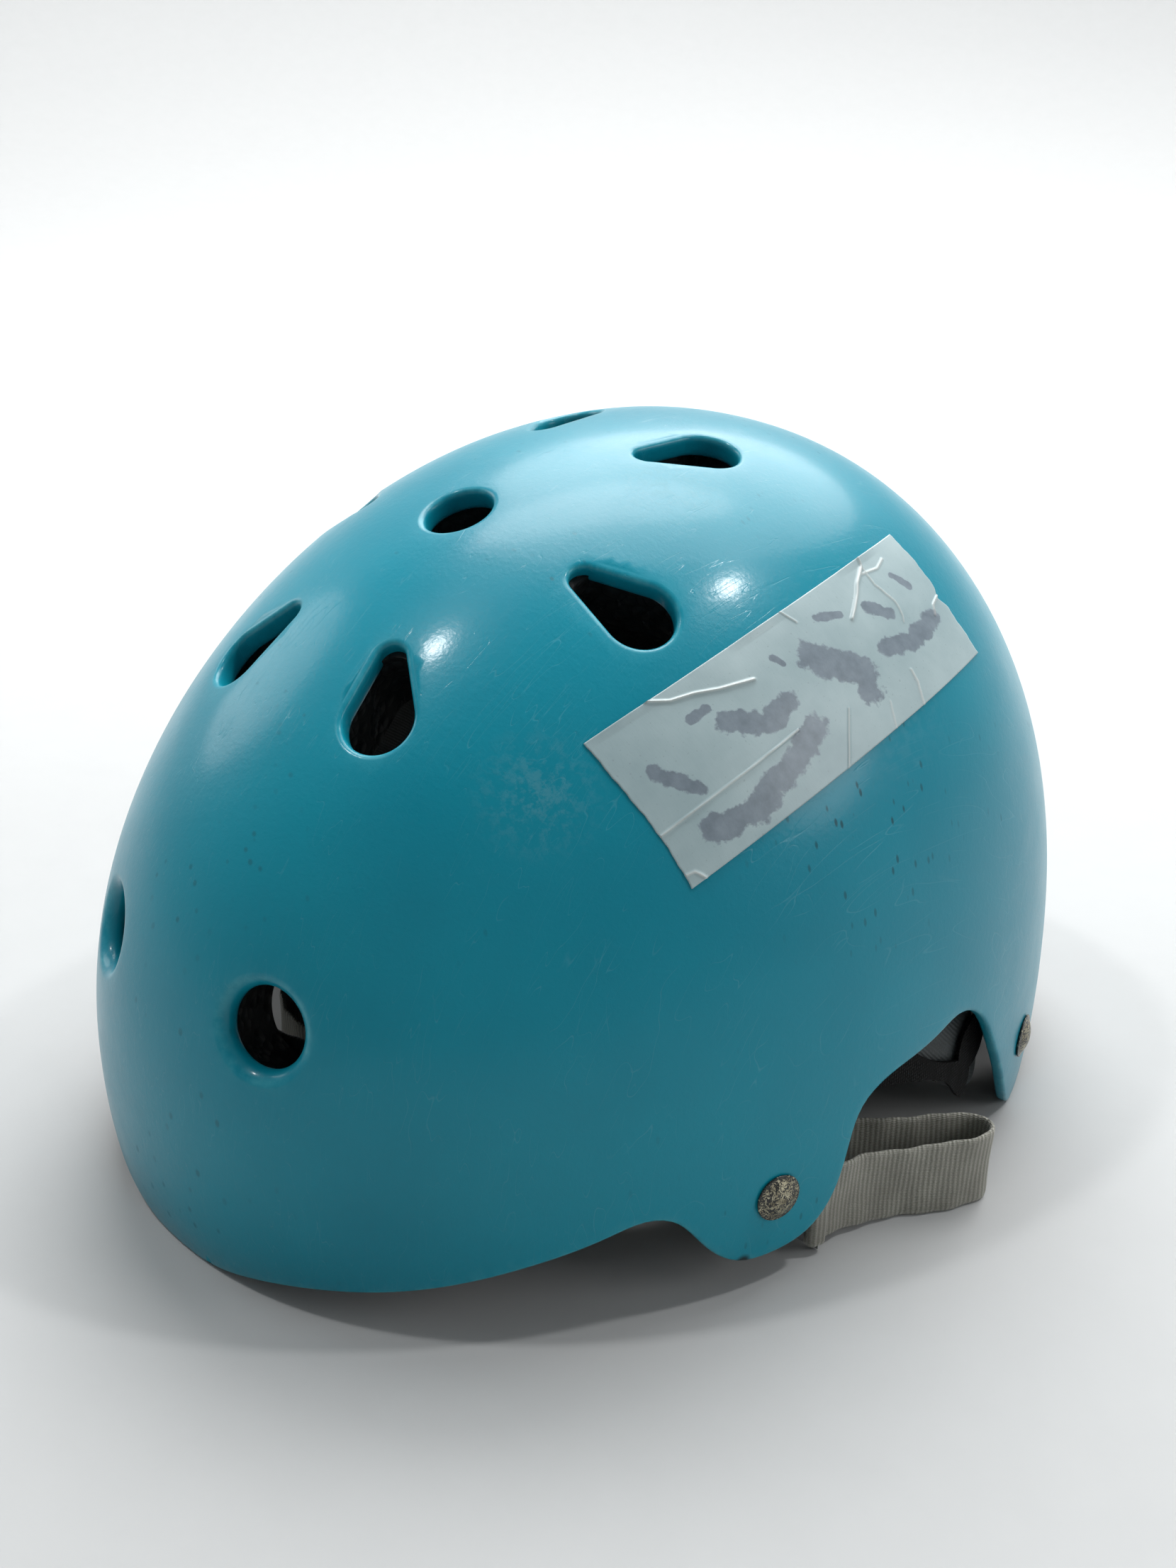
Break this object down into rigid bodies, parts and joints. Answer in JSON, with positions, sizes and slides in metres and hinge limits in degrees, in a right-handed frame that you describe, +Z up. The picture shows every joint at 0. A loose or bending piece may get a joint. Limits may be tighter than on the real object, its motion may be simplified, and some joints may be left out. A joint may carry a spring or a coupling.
{
  "type": "cycling helmet",
  "caption": "Round skate-style cycling helmet: hard vented shell over foam, with pads, riveted webbing harness and side-release buckle.",
  "frame": {"origin": "on the ground plane, under the middle of the shell's length and width, with the helmet resting on its brow and its two rear tabs", "axes": "+X to the wearer's left, -Y to the wearer's front, +Z up"},
  "size_m": [0.2226, 0.2772, 0.1761],
  "materials": {
    "shell": "satin turquoise ABS with scuffs",
    "foam": "black bead foam",
    "padding": "dark grey knit over foam",
    "hook_tape": "black hook tape",
    "rivet_metal": "black coating worn to grey metal",
    "anchor_plastic": "black nylon",
    "buckle_plastic": "black acetal, fine moulded grain",
    "webbing": "grey ribbed polypropylene webbing",
    "tape": "aged paper tape with faded smudges"
  },
  "bodies": {
    "root": {"outer_shell": "shell", "foam_crown": "foam", "foam_front": "foam", "foam_rear": "foam", "foam_left": "foam", "foam_right": "foam", "front_pad": "padding", "rear_pad": "padding", "left_crown_pad": "padding", "right_crown_pad": "padding", "left_temple_pad": "padding", "right_temple_pad": "padding", "left_ear_pad": "padding", "right_ear_pad": "padding", "pad_hook_discs": "hook_tape", "ear_pad_hooks": "hook_tape", "front_left_rivet": "rivet_metal", "front_right_rivet": "rivet_metal", "rear_left_rivet": "rivet_metal", "rear_right_rivet": "rivet_metal", "front_left_anchor": "anchor_plastic", "front_right_anchor": "anchor_plastic", "rear_left_anchor": "anchor_plastic", "rear_right_anchor": "anchor_plastic", "rivet_washers": "rivet_metal", "left_front_strap": "webbing", "left_rear_strap": "webbing", "right_front_strap": "webbing", "right_rear_strap": "webbing", "right_strap_tail": "webbing", "buckle_socket": "buckle_plastic", "buckle_clip": "buckle_plastic", "tape_label": "tape"},
    "left_divider": {"left_divider": "buckle_plastic"},
    "right_divider": {"right_divider": "buckle_plastic"},
    "strap_keeper": {"strap_keeper": "buckle_plastic"},
    "upper_prong": {"upper_prong": "buckle_plastic"},
    "lower_prong": {"lower_prong": "buckle_plastic"}
  },
  "joints": [
    {"name": "left_divider_slide", "type": "slide", "parent": "root", "child": "left_divider", "axis": [-0.494, -0.8695, 0], "range_m": [-0.006, 0.006]},
    {"name": "right_divider_slide", "type": "slide", "parent": "root", "child": "right_divider", "axis": [0.4944, -0.8693, 0], "range_m": [-0.006, 0.006]},
    {"name": "strap_keeper_slide", "type": "slide", "parent": "root", "child": "strap_keeper", "axis": [1, 0, 0], "range_m": [-0.005, 0.005]},
    {"name": "upper_prong_flex", "type": "hinge", "parent": "root", "child": "upper_prong", "pos_m": [0.0023, -0.076, 0.0193], "axis": [0, 1, 0], "range_deg": [0, 8], "stiffness_Nm_per_rad": 0.05},
    {"name": "lower_prong_flex", "type": "hinge", "parent": "root", "child": "lower_prong", "pos_m": [0.0023, -0.076, 0.0055], "axis": [0, -1, 0], "range_deg": [0, 8], "stiffness_Nm_per_rad": 0.05}
  ]
}
